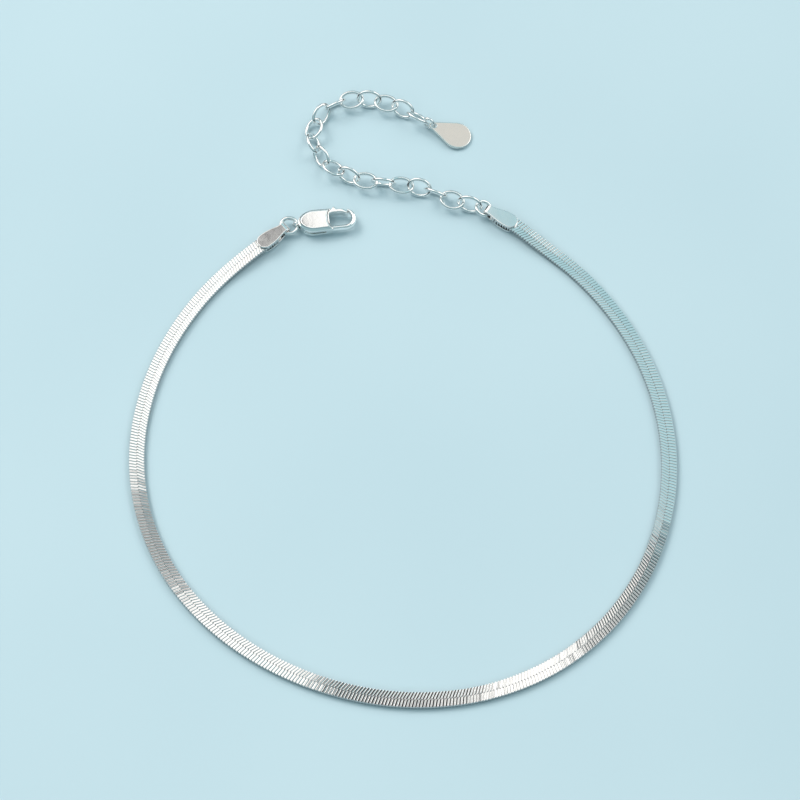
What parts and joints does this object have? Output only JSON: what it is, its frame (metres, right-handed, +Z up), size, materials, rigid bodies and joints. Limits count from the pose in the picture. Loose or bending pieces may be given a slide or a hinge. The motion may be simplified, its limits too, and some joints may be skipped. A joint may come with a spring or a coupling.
{
  "type": "chain anklet",
  "caption": "Flat herringbone chain anklet with folded end caps, a lobster clasp, and an extender chain that ends in a small teardrop tag.",
  "frame": {"origin": "middle of the laid anklet's box, on the surface that it lies on", "axes": "+Z up from the surface; +Y towards the clasp and the extender chain; +X to the right as seen from the front"},
  "size_m": [0.0804, 0.102, 0.0031],
  "materials": {
    "polished_silver": "polished silver, mirror bright",
    "woven_silver": "polished herringbone weave of slanted bars",
    "tag_silver": "polished silver plate, slightly warm"
  },
  "bodies": {
    "root": {"herringbone_band": "woven_silver", "end_cap_clasp_side": "polished_silver", "end_cap_extender_side": "polished_silver", "clasp_jump_ring": "polished_silver", "clasp_body": "polished_silver", "extender_ring": "polished_silver", "extender_link_01": "polished_silver", "extender_link_02": "polished_silver", "extender_link_03": "polished_silver", "extender_link_04": "polished_silver", "extender_link_05": "polished_silver", "extender_link_06": "polished_silver", "extender_link_07": "polished_silver", "extender_link_08": "polished_silver", "extender_link_09": "polished_silver", "extender_link_10": "polished_silver", "extender_link_11": "polished_silver", "extender_link_12": "polished_silver", "extender_link_13": "polished_silver", "extender_link_14": "polished_silver", "extender_link_15": "polished_silver", "extender_link_16": "polished_silver", "extender_link_17": "polished_silver", "extender_link_18": "polished_silver", "extender_link_19": "polished_silver", "tag_ring": "polished_silver", "teardrop_tag": "tag_silver"},
    "lever": {"clasp_lever": "polished_silver"}
  },
  "joints": [
    {"name": "lever_hinge", "type": "hinge", "parent": "root", "child": "lever", "pos_m": [-0.01272, 0.02775, 0.00105], "axis": [0, 0, -1], "range_deg": [0, 20], "stiffness_Nm_per_rad": 0.005}
  ]
}
